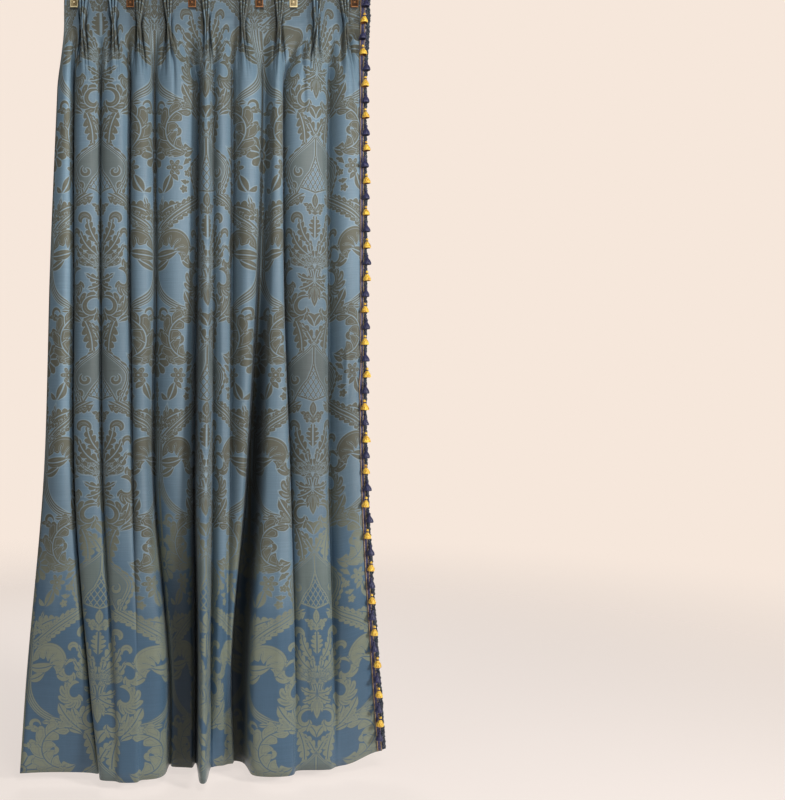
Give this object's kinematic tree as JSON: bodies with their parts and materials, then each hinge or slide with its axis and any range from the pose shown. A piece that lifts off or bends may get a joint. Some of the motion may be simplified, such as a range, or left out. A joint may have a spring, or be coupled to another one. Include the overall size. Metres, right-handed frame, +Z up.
{
  "type": "damask drape with clips",
  "caption": "Pinch-pleated drape of blue and olive damask with a tassel fringe down its leading edge, held by small brass clips at the top.",
  "frame": {"origin": "middle of the drape's top edge, in the plane of the heading's flat spaces", "axes": "+X across the drape towards its fringed leading edge, +Y towards the window behind it, +Z up"},
  "size_m": [1.073, 0.1512, 2.2516],
  "materials": {
    "damask": "satin ground with a duller figure",
    "fringe_yarn": "soft yarn in old gold and navy",
    "clip_brass": "aged, half polished"
  },
  "bodies": {
    "root": {"drape_cloth": "damask", "tassel_fringe": "fringe_yarn", "clip_1": "clip_brass", "clip_2": "clip_brass", "clip_3": "clip_brass", "clip_4": "clip_brass", "clip_5": "clip_brass", "clip_6": "clip_brass"}
  },
  "joints": []
}
